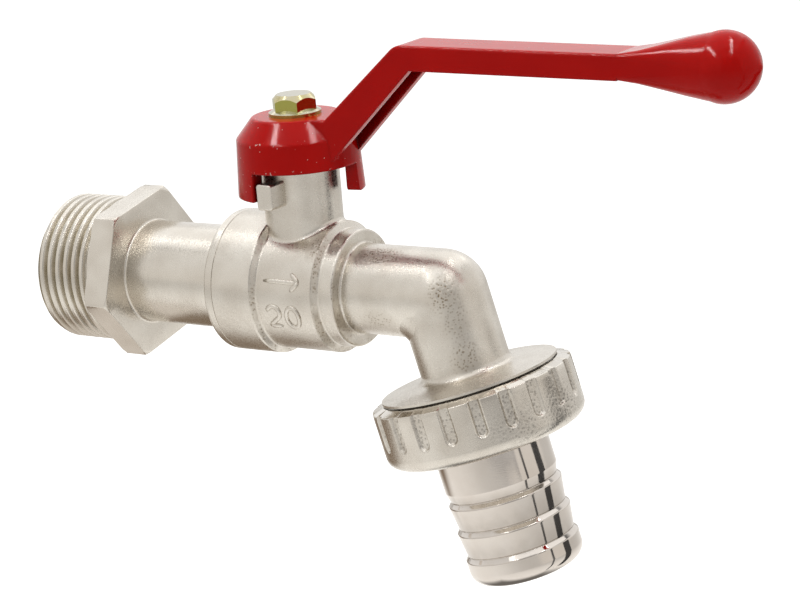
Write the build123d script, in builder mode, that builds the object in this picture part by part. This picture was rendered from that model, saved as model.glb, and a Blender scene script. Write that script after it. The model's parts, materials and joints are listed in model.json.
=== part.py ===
from build123d import *

# Hose tap: a quarter-turn ball valve with a threaded inlet, a cranked red lever, an angled
# spout, and a union nut that holds a barbed hose tail. Lengths are millimetres, angles degrees.
# The origin lies on the pipe axis at the foot of the inlet thread. The water runs along +X,
# and the valve stem stands up along +Z.
import os
from math import cos, degrees, radians, sin, sqrt, tan, asin

os.makedirs("parts", exist_ok=True)

# Fits between pieces
fixed_gap = 0.03  # radial gap of a screwed or pressed joint
running_gap = 0.06  # radial gap of a piece that turns in another
end_gap = 0.10  # axial gap where a piece must not bottom out
free_gap = 0.25  # radial gap of a piece that hangs loose in another

# Inlet connector
inlet_thread_r = 13.22  # three-quarter inch pipe thread, over its crests
inlet_thread_length = 12.2
inlet_thread_lead = 0.7
inlet_mouth_r = 9.6
inlet_mouth_depth = 9.0
inlet_mouth_cone = 4.0
hex_flats = 27.0
hex_thickness = 5.0
hex_turn = 10.0
hex_bevel = 0.8
hex_bevel_rise = 0.45
neck_r = 9.18
neck_length = 19.6
neck_fillet = 0.6
collar_thickness = 1.8
collar_round = 0.7

# Forged body
barrel_r = 12.48
barrel_length = 7.8
band_r = 11.4
band_length = 11.05
shoulder_r = 10.16
shoulder_length = 2.75
step_run = 0.8
step_round = 0.45
edge_round = 0.35
seam_bevel = 0.12  # of the barrel's edge at the collar
joint_thread_r = 10.1
joint_thread_length = 6.9
waterway_r = 5.5

# Ball and seats
stem_setback = 12.36  # from the start of the body to the stem
ball_r = 8.75
ball_gap = 0.6  # room around the ball
ball_slot_width = 3.2
ball_slot_depth = 2.2
seat_outer_r = 8.6
seat_inner_r = 5.6
seat_front = 4.8  # distances of a seat's two faces from the middle of the ball
seat_back = 7.6

# Stem and its seals
stem_r = 3.5
stem_flats = 5.2
stem_top = 29.3
stem_collar_r = 4.7
stem_collar_z = 9.4
stem_collar_height = 1.6
washer_thickness = 1.0
o_ring_thickness = 1.4
o_ring_z = 13.7
packing_z = 15.2
packing_thickness = 1.1
gland_thread_r = 5.0
gland_flats = 11.0
gland_head = 1.9

# Boss around the stem, with the stop block of the lever
boss_r = 6.73
boss_top = 22.6
boss_fillet = 0.9
stop_angle = -94.3
stop_reach = 10.5
stop_width = 3.2
stop_low = 15.4
stop_height = 4.5
stop_round = 0.6
stop_edge = 0.35

# Lever
lever_travel = 90.0
hub_rim_z = 21.58
hub_edge_r = 10.42
hub_edge_z = 26.46
hub_top_r = 7.5
hub_top_z = 30.0
hub_round = 0.6
hub_cavity_r = 8.6
hub_roof = 3.9
lug_low = 16.7
lug_r = 10.95
lug_near_arc = 42.0
lug_far_arc = 24.0
lug_near_round = 2.0
lug_far_round = 0.7
arm_foot_x = 8.8  # where the top of the slope leaves the hub, from the stem
arm_bend_x = 23.15
arm_bend_z = 42.6
arm_bend_round = 3.0
arm_pitch = 1.33
arm_end_x = 62.4
arm_height = 4.1
arm_low_x = 9.4
arm_low_z = 22.7
arm_inner_x = 25.6
arm_root_half = 5.0
arm_half = 4.15
arm_taper_x = 28.0
arm_taper_round = 40.0
arm_wall = 1.5
arm_plate = 1.7
arm_edge_round = 0.45
arm_end_round = 0.7
channel_end_gap = 2.5
# sections of the swell between arm and knob: place, half width, half height, corner round
swells = ((65.6, 4.25, 2.55, 1.2), (68.8, 4.50, 3.35, 2.3), (73.0, 4.95, 4.45, 3.9))
knob_x = 78.45
knob_r = 5.61
knob_drop = 2.0  # of the middles of swell and knob under the line of the arm's top
knob_slope = 13.0
knob_inset = 0.1  # of the swell's last section inside the knob
knob_tip_turn = 20.0  # from the knob's axis to where its blunt point leaves the sphere
knob_tip_round = 1.3

# Lever bolt
bolt_r = 2.0
bolt_flats = 7.0
bolt_flange_r = 4.5
bolt_flange_rim = 0.5
bolt_flange_height = 1.1
bolt_head_height = 3.5
bolt_depth = 7.5

# Spout
spout_lean = 15.5  # from straight down, towards +X
spout_r = 7.74
outlet_length = 15.63
elbow_fillet = 2.0
elbow_core_gap = 0.25
flange_top = 13.4
flange_r = 15.37
flange_shoulder = 14.35
flange_low = 14.75
flange_fillet = 1.3
flange_edge = 0.25
union_thread_r = 13.22
union_thread_length = 5.35
outlet_mouth_r = 8.0
outlet_mouth_depth = 5.0

# Union nut
nut_r = 17.47
nut_gap = 0.95  # under the flange
nut_bevel = 0.4
nut_land = 0.87  # of the nut's top face around its mouth
nut_mouth_depth = 0.25
nut_lip = 1.8
nut_foot_round = 2.2
flute_count = 21
flute_turn = 7.2
flute_width = 2.1
flute_depth = 0.55
flute_length = 6.3

# Hose tail and gasket
gasket_thickness = 1.8
gasket_inner_r = 7.6
gasket_rim_gap = 0.7
tail_flange_thickness = 2.0
tail_neck_r = 9.85
tail_neck_length = 8.5
tail_waist_r = 9.45
tail_waist_length = 1.8
barb_r = 9.98
barb_count = 3
barb_pitch = 4.9
barb_rise = 0.75
tail_end_length = 4.6
tail_end_round = 2.6
tail_bore_r = 7.3

# Stations along the pipe axis
collar_x = hex_thickness + neck_length
body_x = collar_x + collar_thickness
barrel_end = body_x + barrel_length
band_x = barrel_end + step_run
band_end = band_x + band_length
shoulder_x = band_end + step_run
body_end = shoulder_x + shoulder_length
stem_x = body_x + stem_setback
spout_x = body_end + outlet_length
joint_end = body_x + joint_thread_length
cavity_r = ball_r + ball_gap

# Heights along the stem
washer_z = stem_collar_z + stem_collar_height
stem_bore_z = washer_z + washer_thickness
packing_mid_z = packing_z + packing_thickness
gland_z = packing_mid_z + packing_thickness
hub_roof_z = hub_top_z - hub_roof

# Stations along the spout axis, from where it crosses the pipe axis
union_thread_end = flange_low + union_thread_length
nut_top = flange_low + nut_gap
tail_flange_s = union_thread_end + gasket_thickness
nut_lip_s = tail_flange_s + tail_flange_thickness
nut_foot = nut_lip_s + nut_lip
waist_s = nut_lip_s + tail_neck_length
barb_s = waist_s + tail_waist_length
tail_end = barb_s + barb_rise + (barb_count - 1) * barb_pitch + tail_end_length

# Axes and section planes: in each section the first coordinate of a profile point is given
# along the plane's own X and the second along its own Y
spout_down = (sin(radians(spout_lean)), 0, -cos(radians(spout_lean)))
spout_side = (cos(radians(spout_lean)), 0, sin(radians(spout_lean)))
spout_corner = (spout_x, 0, 0)
stem_axis = Axis((stem_x, 0, 0), (0, 0, 1))
spout_axis = Axis(spout_corner, spout_down)
pipe_section = Plane.XZ
spout_section = Plane(origin=spout_corner, x_dir=spout_side, z_dir=(0, 1, 0))


def spout_level(distance):
    """The plane across the spout at a distance along its axis."""
    return Plane(
        origin=tuple(corner + distance * step for corner, step in zip(spout_corner, spout_down)),
        x_dir=spout_side,
        z_dir=spout_down,
    )


def stem_level(height):
    """The plane across the stem at a height."""
    return Plane(origin=(stem_x, 0, height))


def stem_half_plane(angle):
    """The upright plane through the stem axis whose X points out at an angle from the pipe axis."""
    across, along = sin(radians(angle)), cos(radians(angle))
    return Plane(origin=(stem_x, 0, 0), x_dir=(along, across, 0), z_dir=(across, -along, 0))


def outline(plane, *points):
    """A closed face with straight sides on a plane."""
    with BuildSketch(plane) as sketch:
        with BuildLine():
            Polyline(*points, close=True)
        make_face()
    return sketch.sketch


stem_section = stem_half_plane(0)

# The inlet connector is one turned piece: thread, hexagon, neck, collar and inner joint thread
seat_pocket_r = seat_outer_r + fixed_gap
inlet_seat_x = stem_x - seat_back
hex_corner_r = hex_flats / sqrt(3)
with BuildPart() as inlet_connector:
    with BuildSketch(Plane.YZ):
        RegularPolygon(hex_corner_r, 6, rotation=hex_turn)
    extrude(amount=hex_thickness)
    bevelled = outline(
        pipe_section,
        (0, 0),
        (0, hex_corner_r - hex_bevel),
        (hex_bevel_rise, hex_corner_r),
        (hex_thickness - hex_bevel_rise, hex_corner_r),
        (hex_thickness, hex_corner_r - hex_bevel),
        (hex_thickness, 0),
    )
    revolve(bevelled, axis=Axis.X, mode=Mode.INTERSECT)
    with BuildSketch(pipe_section):
        with BuildLine():
            Polyline(
                (-inlet_thread_length, 0),
                (-inlet_thread_length, inlet_thread_r - inlet_thread_lead),
                (inlet_thread_lead - inlet_thread_length, inlet_thread_r),
                (0, inlet_thread_r),
                (0, neck_r),
                (collar_x, neck_r),
                (collar_x, barrel_r),
                (body_x, barrel_r),
                (body_x, joint_thread_r),
                (joint_end, joint_thread_r),
                (joint_end, 0),
                close=True,
            )
        rim = make_face()
        fillet(rim.vertices().sort_by_distance((collar_x, barrel_r))[0], collar_round)
    revolve(axis=Axis.X)
    fillet(
        inlet_connector.edges()
        .filter_by(GeomType.CIRCLE)
        .filter_by(lambda edge: abs(edge.radius - neck_r) < fixed_gap)
        .group_by(Axis.X)[-1],
        neck_fillet,
    )
    waterway = outline(
        pipe_section,
        (-inlet_thread_length, 0),
        (-inlet_thread_length, inlet_mouth_r),
        (inlet_mouth_depth - inlet_thread_length, inlet_mouth_r),
        (inlet_mouth_depth + inlet_mouth_cone - inlet_thread_length, waterway_r),
        (inlet_seat_x, waterway_r),
        (inlet_seat_x, seat_pocket_r),
        (joint_end, seat_pocket_r),
        (joint_end, 0),
    )
    revolve(waterway, axis=Axis.X, mode=Mode.SUBTRACT)
inlet_connector.part.label = "inlet_connector"
export_step(inlet_connector.part, "parts/inlet_connector.step")

# The body is one forging: barrel, stem boss, outlet, elbow, spout, flange and union thread
outlet_seat_x = stem_x + seat_front
elbow_core_r = spout_r - elbow_core_gap
elbow_turn = 90 - spout_lean
elbow_radius = elbow_core_r + elbow_fillet
elbow_x = spout_x - elbow_radius * tan(radians(elbow_turn / 2))
with BuildPart() as body:
    with BuildSketch(Plane.YZ.offset(body_x)):
        Circle(band_r)
    extrude(amount=band_end - body_x)
    with BuildSketch(stem_level(0)):
        Circle(boss_r)
    extrude(amount=boss_top)
    boss_seam = body.edges().filter_by(
        lambda edge: all(
            abs(Vector(point.X - stem_x, point.Y).length - boss_r) < fixed_gap
            and point.Z < boss_top - fixed_gap
            for point in edge.positions([0.2, 0.5, 0.8])
        )
    )
    fillet(boss_seam, boss_fillet)
    step_corners = (
        (barrel_end, barrel_r),
        (band_x, band_r),
        (band_end, band_r),
        (shoulder_x, shoulder_r),
        (body_end, shoulder_r),
        (body_end, spout_r),
    )
    with BuildSketch(pipe_section):
        with BuildLine():
            Polyline(
                (body_x, 0),
                (body_x, barrel_r - seam_bevel),
                (body_x + seam_bevel, barrel_r),
                *step_corners,
                (body_end + outlet_length / 2, spout_r),
                (body_end + outlet_length / 2, 0),
                close=True,
            )
        rings = make_face()
        fillet([rings.vertices().sort_by_distance(corner)[0] for corner in step_corners], step_round)
    revolve(axis=Axis.X)
    stop_out = stem_half_plane(stop_angle).x_dir
    stop_face = Plane(
        origin=Vector(stem_x, 0, stop_low + stop_height / 2) + stop_out * stop_reach,
        x_dir=(-stop_out.Y, stop_out.X, 0),
        z_dir=stop_out,
    )
    with BuildSketch(stop_face):
        RectangleRounded(stop_width, stop_height, stop_round)
    extrude(amount=-(stop_reach - gland_thread_r))
    fillet(body.faces().sort_by_distance(stop_face.origin)[0].edges(), stop_edge)
    with BuildSketch(Plane.YZ.offset(body_end)):
        Circle(spout_r)
    extrude(amount=outlet_length)
    with Locations(spout_corner):
        Sphere(spout_r)
    with BuildSketch(spout_level(0)):
        Circle(spout_r)
    extrude(amount=flange_top)
    with BuildSketch(Plane.YZ.offset(elbow_x)):
        Circle(elbow_core_r)
    revolve(axis=Axis((elbow_x, 0, -elbow_radius), (0, 1, 0)), revolution_arc=elbow_turn)
    with BuildSketch(spout_section):
        with BuildLine():
            Polyline(
                (spout_r, flange_top),
                (flange_r, flange_shoulder),
                (flange_r, flange_low),
                (union_thread_r, flange_low),
                (union_thread_r, union_thread_end),
                (0, union_thread_end),
                (0, flange_top - 2 * flange_fillet),
                (spout_r, flange_top - 2 * flange_fillet),
                close=True,
            )
        disc = make_face()
        fillet(disc.vertices().sort_by_distance((spout_r, flange_top))[0], flange_fillet)
        fillet(disc.vertices().sort_by_distance((flange_r, flange_shoulder))[0], flange_edge)
    revolve(axis=spout_axis)
    chambers = outline(
        pipe_section,
        (body_x, 0),
        (body_x, joint_thread_r + fixed_gap),
        (joint_end + end_gap, joint_thread_r + fixed_gap),
        (joint_end + end_gap, cavity_r),
        (outlet_seat_x, cavity_r),
        (outlet_seat_x, seat_pocket_r),
        (stem_x + seat_back, seat_pocket_r),
        (stem_x + seat_back, waterway_r),
        (spout_x, waterway_r),
        (spout_x, 0),
    )
    revolve(chambers, axis=Axis.X, mode=Mode.SUBTRACT)
    with Locations(spout_corner):
        Sphere(waterway_r, mode=Mode.SUBTRACT)
    spout_bore = outline(
        spout_section,
        (0, 0),
        (waterway_r, 0),
        (waterway_r, union_thread_end - outlet_mouth_depth),
        (outlet_mouth_r, union_thread_end - outlet_mouth_depth),
        (outlet_mouth_r, union_thread_end),
        (0, union_thread_end),
    )
    revolve(spout_bore, axis=spout_axis, mode=Mode.SUBTRACT)
    stem_bore = outline(
        stem_section,
        (0, 0),
        (stem_collar_r + running_gap, 0),
        (stem_collar_r + running_gap, stem_bore_z),
        (stem_r + running_gap, stem_bore_z),
        (stem_r + running_gap, packing_z),
        (gland_thread_r + fixed_gap, packing_z),
        (gland_thread_r + fixed_gap, boss_top),
        (0, boss_top),
    )
    revolve(stem_bore, axis=stem_axis, mode=Mode.SUBTRACT)
body.part.label = "body"
export_step(body.part, "parts/body.step")

# The ball has a straight bore and a slot across its top for the stem's tang
with BuildPart() as ball:
    with Locations((stem_x, 0, 0)):
        Sphere(ball_r)
    with BuildSketch(Plane.YZ.offset(stem_x)):
        Circle(waterway_r)
    extrude(amount=ball_r, both=True, mode=Mode.SUBTRACT)
    with BuildSketch(stem_level(ball_r - ball_slot_depth)):
        Rectangle(ball_slot_width, 2 * ball_r)
    extrude(amount=ball_slot_depth, mode=Mode.SUBTRACT)
ball.part.label = "ball"
export_step(ball.part, "parts/ball.step")

# Two like seat rings face the ball, one on each side, each hollowed to the ball's curve
seat_curve_r = ball_r + running_gap
for seat_name, side in (("inlet_seat", -1), ("outlet_seat", 1)):
    with BuildPart() as seat:
        with BuildSketch(pipe_section):
            with BuildLine():
                front_x = stem_x + side * seat_front
                back_x = stem_x + side * seat_back
                throat_x = stem_x + side * sqrt(seat_curve_r**2 - seat_inner_r**2)
                front_r = sqrt(seat_curve_r**2 - seat_front**2)
                Polyline(
                    (front_x, front_r),
                    (front_x, seat_outer_r),
                    (back_x, seat_outer_r),
                    (back_x, seat_inner_r),
                    (throat_x, seat_inner_r),
                )
                middle_x = (front_x + throat_x) / 2
                middle_r = sqrt(seat_curve_r**2 - (middle_x - stem_x) ** 2)
                ThreePointArc(
                    (throat_x, seat_inner_r), (middle_x, middle_r), (front_x, front_r)
                )
            make_face()
        revolve(axis=Axis.X)
    seat.part.label = seat_name
    export_step(seat.part, f"parts/{seat_name}.step")

# The stem: tang in the ball's slot, collar, round shank with a ring groove, and two flats on top
tang_low = ball_r - ball_slot_depth + end_gap
o_ring_r = o_ring_thickness / 2
groove_r = stem_r - o_ring_thickness
groove_low = o_ring_z - o_ring_r - running_gap
groove_high = o_ring_z + o_ring_r + running_gap
with BuildPart() as stem:
    with BuildSketch(stem_level(tang_low)):
        Circle(stem_collar_r)
        Rectangle(
            ball_slot_width - 2 * running_gap, 2 * stem_collar_r, mode=Mode.INTERSECT
        )
    extrude(amount=stem_collar_z - tang_low)
    shank = outline(
        stem_section,
        (0, stem_collar_z),
        (stem_collar_r, stem_collar_z),
        (stem_collar_r, washer_z),
        (stem_r, washer_z),
        (stem_r, groove_low),
        (groove_r, groove_low),
        (groove_r, groove_high),
        (stem_r, groove_high),
        (stem_r, stem_top),
        (0, stem_top),
    )
    revolve(shank, axis=stem_axis)
    with BuildSketch(stem_level(hub_roof_z - end_gap)):
        Circle(stem_r)
        Rectangle(2 * stem_r, stem_flats, mode=Mode.SUBTRACT)
    extrude(amount=stem_top - hub_roof_z + end_gap, mode=Mode.SUBTRACT)
    with BuildSketch(stem_level(hub_top_z - bolt_depth - end_gap)):
        Circle(bolt_r + fixed_gap)
    extrude(amount=bolt_depth, mode=Mode.SUBTRACT)
stem.part.label = "stem"
export_step(stem.part, "parts/stem.step")

# Seals on the stem: a thrust washer under the boss, a ring in the groove, and two packing rings
with BuildPart() as thrust_washer:
    with BuildSketch(stem_level(washer_z)):
        Circle(stem_collar_r)
        Circle(stem_r + running_gap, mode=Mode.SUBTRACT)
    extrude(amount=washer_thickness)
thrust_washer.part.label = "thrust_washer"
export_step(thrust_washer.part, "parts/thrust_washer.step")

with BuildPart() as stem_o_ring:
    with BuildSketch(stem_section):
        with Locations((stem_r - o_ring_r, o_ring_z)):
            Circle(o_ring_r - fixed_gap)
    revolve(axis=stem_axis)
stem_o_ring.part.label = "stem_o_ring"
export_step(stem_o_ring.part, "parts/stem_o_ring.step")

for packing_name, packing_low in (("lower_packing", packing_z), ("upper_packing", packing_mid_z)):
    with BuildPart() as packing:
        with BuildSketch(stem_level(packing_low)):
            Circle(gland_thread_r)
            Circle(stem_r + running_gap, mode=Mode.SUBTRACT)
        extrude(amount=packing_thickness)
    packing.part.label = packing_name
    export_step(packing.part, f"parts/{packing_name}.step")

# The gland nut screws into the boss and presses the packing
with BuildPart() as gland_nut:
    with BuildSketch(stem_level(gland_z)):
        Circle(gland_thread_r)
    extrude(amount=boss_top - gland_z)
    with BuildSketch(stem_level(boss_top)):
        RegularPolygon(gland_flats / 2, 6, major_radius=False)
    extrude(amount=gland_head)
    with BuildSketch(stem_level(gland_z)):
        Circle(stem_r + running_gap)
    extrude(amount=boss_top + gland_head - gland_z, mode=Mode.SUBTRACT)
gland_nut.part.label = "gland_nut"
export_step(gland_nut.part, "parts/gland_nut.step")


def arm_top_z(distance):
    """Height of the arm's top edge at a distance from the stem, past the bend."""
    return arm_bend_z - (distance - arm_bend_x) * tan(radians(arm_pitch))


# The hollow under the arm, open below, leaves a top plate and two side walls
slope_run = arm_bend_x - arm_foot_x
slope_rise = arm_bend_z - hub_top_z
slope_length = sqrt(slope_run**2 + slope_rise**2)
plate_run = arm_plate * slope_rise / slope_length
plate_rise = arm_plate * slope_run / slope_length
channel_x = arm_end_x - channel_end_gap
with BuildPart() as channel:
    with BuildSketch(stem_section):
        with BuildLine():
            Polyline(
                (arm_foot_x + plate_run, hub_top_z - plate_rise),
                (arm_bend_x + plate_run / 2, arm_bend_z - arm_plate),
                (channel_x, arm_top_z(channel_x) - arm_plate),
                (channel_x, lug_low),
                (arm_foot_x + plate_run, lug_low),
                close=True,
            )
        make_face()
    extrude(amount=arm_root_half, both=True)
    with BuildSketch(stem_level(lug_low)):
        with BuildLine():
            Polyline(
                (0, arm_root_half - arm_wall),
                (arm_bend_x, arm_half - arm_wall),
                (arm_end_x, arm_half - arm_wall),
                (arm_end_x, arm_wall - arm_half),
                (arm_bend_x, arm_wall - arm_half),
                (0, arm_wall - arm_root_half),
                close=True,
            )
        make_face()
    extrude(amount=arm_bend_z, mode=Mode.INTERSECT)

# The stop faces of the lugs: the near lug rests on one side of the stop block, and the far lug
# meets the other side after the lever's travel
block_half_angle = degrees(asin((stop_width / 2 + fixed_gap) / hub_cavity_r))
near_lug_angle = stop_angle - block_half_angle
far_lug_angle = stop_angle + block_half_angle + lever_travel
arm_end_top = arm_top_z(arm_end_x)
arm_inner_z = arm_top_z(arm_inner_x) - arm_height
knob_z = arm_top_z(knob_x) - knob_drop
knob_face_x = knob_x - knob_r * sin(radians(knob_slope))
knob_face_half = knob_r * cos(radians(knob_slope)) - knob_inset
tip_x = (knob_r - knob_tip_round) / cos(radians(knob_tip_turn))
with BuildPart() as lever:
    with BuildSketch(stem_section):
        with BuildLine():
            Polyline(
                (stem_r, hub_top_z),
                (arm_foot_x, hub_top_z),
                (arm_bend_x, arm_bend_z),
                (arm_end_x, arm_end_top),
                (arm_end_x, arm_end_top - arm_height),
                (arm_inner_x, arm_inner_z),
                (arm_low_x, arm_low_z),
                (stem_r, arm_low_z),
                close=True,
            )
        side = make_face()
        fillet(side.vertices().sort_by_distance((arm_bend_x, arm_bend_z))[0], arm_bend_round)
    extrude(amount=arm_root_half, both=True)
    with BuildSketch(stem_level(0)):
        with BuildLine():
            Polyline(
                (0, arm_root_half),
                (arm_taper_x, arm_half),
                (arm_end_x, arm_half),
                (arm_end_x, -arm_half),
                (arm_taper_x, -arm_half),
                (0, -arm_root_half),
                close=True,
            )
        plan = make_face()
        fillet(plan.vertices().group_by(Axis.X)[1], arm_taper_round)
    extrude(amount=arm_bend_z, mode=Mode.INTERSECT)
    arm_top = lever.faces().filter_by(lambda face: face.normal_at().Z > cos(radians(60)))
    top_edges = arm_top.edges().filter_by(
        lambda edge: abs(edge.center().Y) > arm_half - fixed_gap
    )
    fillet(top_edges, arm_edge_round)
    with BuildSketch(Plane.YZ.offset(stem_x + arm_end_x)):
        with Locations((0, arm_end_top - arm_height / 2)):
            RectangleRounded(2 * arm_half, arm_height, arm_end_round)
    for swell_x, half_width, half_height, corner in swells:
        with BuildSketch(Plane.YZ.offset(stem_x + swell_x)):
            with Locations((0, arm_top_z(swell_x) - knob_drop)):
                RectangleRounded(2 * half_width, 2 * half_height, corner)
    with BuildSketch(Plane.YZ.offset(stem_x + knob_face_x)):
        with Locations((0, knob_z)):
            RectangleRounded(
                2 * knob_face_half, 2 * knob_face_half, knob_face_half - knob_inset
            )
    loft(ruled=True)
    knob_middle = (stem_x + knob_x, 0, knob_z)
    with BuildSketch(Plane(origin=knob_middle, x_dir=(1, 0, 0), z_dir=(0, -1, 0))):
        with BuildLine():
            ball_arc = CenterArc((0, 0), knob_r, knob_tip_turn, 180 - knob_tip_turn)
            tip_arc = CenterArc((tip_x, 0), knob_tip_round, 0, knob_tip_turn)
            Line(tip_arc @ 1, ball_arc @ 0)
            Line(ball_arc @ 1, tip_arc @ 0)
        make_face()
    revolve(axis=Axis(knob_middle, (1, 0, 0)))
    add(channel.part, mode=Mode.SUBTRACT)
    with BuildSketch(stem_section):
        with BuildLine():
            Polyline(
                (0, lug_low),
                (lug_r, lug_low),
                (hub_edge_r, hub_edge_z),
                (hub_top_r, hub_top_z),
                (0, hub_top_z),
                close=True,
            )
        cap = make_face()
        hub_corners = ((hub_edge_r, hub_edge_z), (hub_top_r, hub_top_z))
        fillet([cap.vertices().sort_by_distance(corner)[0] for corner in hub_corners], hub_round)
    revolve(axis=stem_axis)
    with BuildSketch(stem_level(lug_low)):
        Circle(hub_cavity_r)
    extrude(amount=hub_roof_z - lug_low, mode=Mode.SUBTRACT)
    near_lug_end = near_lug_angle - lug_near_arc
    far_lug_end = far_lug_angle + lug_far_arc
    for window_start, window_end in (
        (near_lug_angle, far_lug_angle),
        (far_lug_end, near_lug_end + 360),
    ):
        window = outline(
            stem_half_plane(window_start),
            (hub_cavity_r - arm_wall, lug_low - arm_wall),
            (lug_r + arm_wall, lug_low - arm_wall),
            (lug_r + arm_wall, hub_rim_z),
            (hub_cavity_r - arm_wall, hub_rim_z),
        )
        revolve(window, stem_axis, window_end - window_start, mode=Mode.SUBTRACT)
    for lug_edge_angle, corner_round in ((near_lug_end, lug_near_round), (far_lug_angle, lug_far_round)):
        out = stem_half_plane(lug_edge_angle).x_dir
        lug_corner = Vector(stem_x, 0, lug_low) + out * (hub_cavity_r + lug_r) / 2
        fillet(lever.edges().sort_by_distance(lug_corner)[0], corner_round)
    with BuildSketch(stem_level(hub_roof_z)):
        Circle(stem_r + fixed_gap)
        Rectangle(2 * stem_r + 2 * fixed_gap, stem_flats + 2 * fixed_gap, mode=Mode.INTERSECT)
    extrude(amount=hub_roof, mode=Mode.SUBTRACT)
lever.part.label = "lever"
export_step(lever.part, "parts/lever.step")

# The lever bolt: a hexagon head with a flange, and a shank that screws into the stem
bolt_corner_r = bolt_flats / sqrt(3)
bolt_top_z = hub_top_z + bolt_head_height
with BuildPart() as lever_bolt:
    with BuildSketch(stem_level(hub_top_z)):
        RegularPolygon(bolt_corner_r, 6, rotation=hex_turn)
    extrude(amount=bolt_head_height)
    crown = outline(
        stem_section,
        (0, hub_top_z),
        (bolt_corner_r, hub_top_z),
        (bolt_corner_r, bolt_top_z - bolt_flange_height),
        (bolt_flats / 2 - bolt_flange_rim, bolt_top_z),
        (0, bolt_top_z),
    )
    revolve(crown, axis=stem_axis, mode=Mode.INTERSECT)
    flange = outline(
        stem_section,
        (0, hub_top_z - bolt_depth),
        (bolt_r, hub_top_z - bolt_depth),
        (bolt_r, hub_top_z),
        (bolt_flange_r, hub_top_z),
        (bolt_flange_r, hub_top_z + bolt_flange_rim),
        (bolt_flats / 2, hub_top_z + bolt_flange_height),
        (0, hub_top_z + bolt_flange_height),
    )
    revolve(flange, axis=stem_axis)
lever_bolt.part.label = "lever_bolt"
export_step(lever_bolt.part, "parts/lever_bolt.step")

# The union nut has finger flutes that open at its top edge and end in a round foot
nut_bore_r = union_thread_r + running_gap
nut_mouth_r = nut_r - nut_land
with BuildPart() as union_nut:
    with BuildSketch(spout_section):
        with BuildLine():
            Polyline(
                (nut_bore_r, nut_top + nut_mouth_depth),
                (nut_mouth_r, nut_top + nut_mouth_depth),
                (nut_mouth_r, nut_top),
                (nut_r - nut_bevel, nut_top),
                (nut_r, nut_top + nut_bevel),
                (nut_r, nut_foot),
                (tail_neck_r + free_gap, nut_foot),
                (tail_neck_r + free_gap, nut_lip_s),
                (nut_bore_r, nut_lip_s),
                close=True,
            )
        shell = make_face()
        fillet(shell.vertices().sort_by_distance((nut_r, nut_foot))[0], nut_foot_round)
    revolve(axis=spout_axis)
    flute_foot = flute_length - flute_width / 2
    with Locations(spout_level(nut_top)):
        with PolarLocations(nut_r, flute_count, start_angle=flute_turn):
            Box(
                2 * flute_depth,
                flute_width,
                flute_foot,
                align=(Align.CENTER, Align.CENTER, Align.MIN),
                mode=Mode.SUBTRACT,
            )
    with Locations(spout_level(nut_top + flute_foot)):
        with PolarLocations(nut_r, flute_count, start_angle=flute_turn):
            Cylinder(
                flute_width / 2, 2 * flute_depth, rotation=(0, 90, 0), mode=Mode.SUBTRACT
            )
union_nut.part.label = "union_nut"
export_step(union_nut.part, "parts/union_nut.step")

# The hose gasket lies between the end of the union thread and the hose tail
gasket_r = nut_bore_r - gasket_rim_gap
with BuildPart() as hose_gasket:
    with BuildSketch(spout_level(union_thread_end)):
        Circle(gasket_r)
        Circle(gasket_inner_r, mode=Mode.SUBTRACT)
    extrude(amount=gasket_thickness)
hose_gasket.part.label = "hose_gasket"
export_step(hose_gasket.part, "parts/hose_gasket.step")

# The hose tail: a flange held by the nut, a smooth neck, a row of barbs and a rounded end
barb_points = []
for barb in range(barb_count):
    rise_s = barb_s + barb * barb_pitch
    barb_points += [(tail_waist_r, rise_s), (barb_r, rise_s + barb_rise)]
with BuildPart() as hose_tail:
    with BuildSketch(spout_section):
        with BuildLine():
            Polyline(
                (tail_bore_r, tail_flange_s),
                (gasket_r, tail_flange_s),
                (gasket_r, nut_lip_s),
                (tail_neck_r, nut_lip_s),
                (tail_neck_r, waist_s),
                *barb_points,
                (barb_r, tail_end),
                (tail_bore_r, tail_end),
                close=True,
            )
        tail = make_face()
        fillet(tail.vertices().sort_by_distance((barb_r, tail_end))[0], tail_end_round)
    revolve(axis=spout_axis)
    crests = hose_tail.edges().filter_by(GeomType.CIRCLE)
    crests = crests.filter_by(lambda edge: abs(edge.radius - barb_r) < fixed_gap)
    fillet(crests.sort_by(spout_axis)[:barb_count], edge_round)
hose_tail.part.label = "hose_tail"
export_step(hose_tail.part, "parts/hose_tail.step")
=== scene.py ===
# %% [markdown]
# A hose tap: a quarter-turn ball valve with a threaded inlet, a cranked red lever, an angled
# spout, and a union nut that holds a barbed hose tail. The solids of the part are loaded first,
# as a frame that stays where it is. Everything below is made in metres in that same frame, so
# a new piece goes where the frame says and needs no fitting by eye.

import json
from math import acos, atan2, cos, pi, radians, sin, sqrt, tan, tau

import bmesh
import bpy
import numpy as np
from mathutils import Matrix, Vector


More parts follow.
